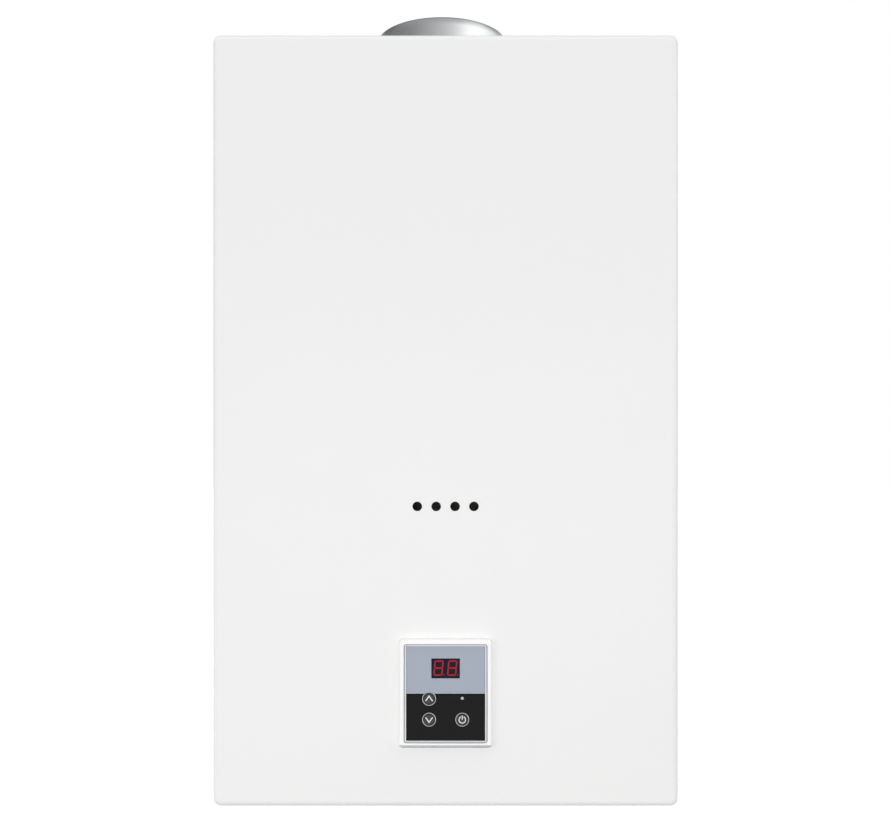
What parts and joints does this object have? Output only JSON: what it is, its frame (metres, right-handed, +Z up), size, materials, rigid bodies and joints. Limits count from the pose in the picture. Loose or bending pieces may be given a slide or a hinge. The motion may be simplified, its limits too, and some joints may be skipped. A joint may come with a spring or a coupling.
{
  "type": "tankless gas water heater",
  "caption": "Wall-hung instantaneous gas water heater with a white steel case, top flue collar, sight holes, a small key panel with a two-figure display and pipe stubs below.",
  "frame": {"origin": "midway between the two upper fixing holes, on the wall plane", "axes": "+X to the viewer's right, +Y into the wall, +Z up; the front face looks along -Y"},
  "size_m": [0.3548, 0.1702, 0.6361],
  "materials": {
    "white_enamel": "satin powder coat",
    "zinc_sheet": "galvanised",
    "burner_steel": "stainless sheet",
    "collar_steel": "satin",
    "screw_steel": "zinc plated",
    "gasket_rubber": "matt",
    "clear_glass": "clear",
    "mica": "mica sheet",
    "copper": "copper, with a thin tinned skin on the chamber",
    "brass": "machined",
    "gas_tube": "zinc plated tube",
    "electrode_ceramic": "fired",
    "valve_casting": "die cast",
    "coil_moulding": "moulded",
    "plunger_steel": "turned",
    "filter_mesh": "woven",
    "rotor_plastic": "moulded",
    "black_plastic": "moulded",
    "knob_plastic": "moulded",
    "box_plastic": "moulded",
    "circuit_board": "solder resist",
    "wire_sheath": "silicone sleeve",
    "bezel_plastic": "gloss",
    "frame_silver": "satin silver",
    "display_film": "printed film",
    "keypad_film": "printed film",
    "led_face": "smoked",
    "led_red": "lit",
    "status_lens": "translucent",
    "key_plastic": "moulded",
    "switch_metal": "stamped"
  },
  "bodies": {
    "heater": {"back_plate": "zinc_sheet", "front_cover": "white_enamel", "bottom_plate": "zinc_sheet", "brackets": "zinc_sheet", "screws": "screw_steel", "sight_window": "clear_glass", "sight_clip": "zinc_sheet", "flue_collar": "collar_steel", "flue_gasket": "gasket_rubber", "draught_hood": "zinc_sheet", "thermostats": "black_plastic", "exchanger_shell": "copper", "exchanger_fins": "copper", "exchanger_tubes": "copper", "combustion_chamber": "copper", "chamber_window": "mica", "jacket_coil": "copper", "burner_blades": "burner_steel", "burner_frame": "zinc_sheet", "gas_manifold": "gas_tube", "gas_nozzles": "brass", "electrodes": "electrode_ceramic", "electrode_bracket": "zinc_sheet", "gas_valve": "valve_casting", "solenoid_coils": "coil_moulding", "gas_inlet": "brass", "water_inlet": "brass", "inlet_filter": "filter_mesh", "flow_sensor": "black_plastic", "drain_valve": "brass", "cold_pipe": "copper", "hot_pipe": "copper", "hot_outlet": "brass", "outlet_thermistor": "brass", "pipe_nuts": "brass", "control_box": "box_plastic", "control_lid": "box_plastic", "control_board": "circuit_board", "spark_module": "black_plastic", "cable_gland": "black_plastic", "wiring_loom": "wire_sheath", "panel_bezel": "bezel_plastic", "panel_frame": "frame_silver", "display_fascia": "display_film", "keypad_fascia": "keypad_film", "led_display": "led_face", "led_segments": "led_red", "status_led": "status_lens", "key_rings": "frame_silver", "display_board": "circuit_board", "tact_switches": "switch_metal", "panel_housing": "box_plastic"},
    "up_key": {"up_key": "key_plastic"},
    "down_key": {"down_key": "key_plastic"},
    "power_key": {"power_key": "key_plastic"},
    "flow_rotor": {"flow_rotor": "rotor_plastic"},
    "drain_knob": {"drain_knob": "knob_plastic"},
    "main_plunger": {"main_plunger": "plunger_steel"},
    "modulator_plunger": {"modulator_plunger": "plunger_steel"}
  },
  "joints": [
    {"name": "up_press", "type": "slide", "parent": "heater", "child": "up_key", "axis": [0, 1, 0], "range_m": [0, 0.0008], "stiffness_N_per_m": 700},
    {"name": "down_press", "type": "slide", "parent": "heater", "child": "down_key", "axis": [0, 1, 0], "range_m": [0, 0.0008], "stiffness_N_per_m": 700},
    {"name": "power_press", "type": "slide", "parent": "heater", "child": "power_key", "axis": [0, 1, 0], "range_m": [0, 0.0008], "stiffness_N_per_m": 700},
    {"name": "rotor_spin", "type": "hinge", "parent": "heater", "child": "flow_rotor", "pos_m": [0.093, -0.075, -0.558], "axis": [0, 0, 1], "continuous": true},
    {"name": "drain_turn", "type": "hinge", "parent": "heater", "child": "drain_knob", "pos_m": [0.126, -0.075, -0.606], "axis": [0, 0, 1], "range_deg": [0, 360]},
    {"name": "main_lift", "type": "slide", "parent": "heater", "child": "main_plunger", "axis": [0, 0, 1], "range_m": [0, 0.003], "stiffness_N_per_m": 300, "springref_m": -0.002},
    {"name": "modulator_lift", "type": "slide", "parent": "heater", "child": "modulator_plunger", "axis": [0, 0, 1], "range_m": [0, 0.003], "stiffness_N_per_m": 300, "springref_m": -0.002}
  ]
}
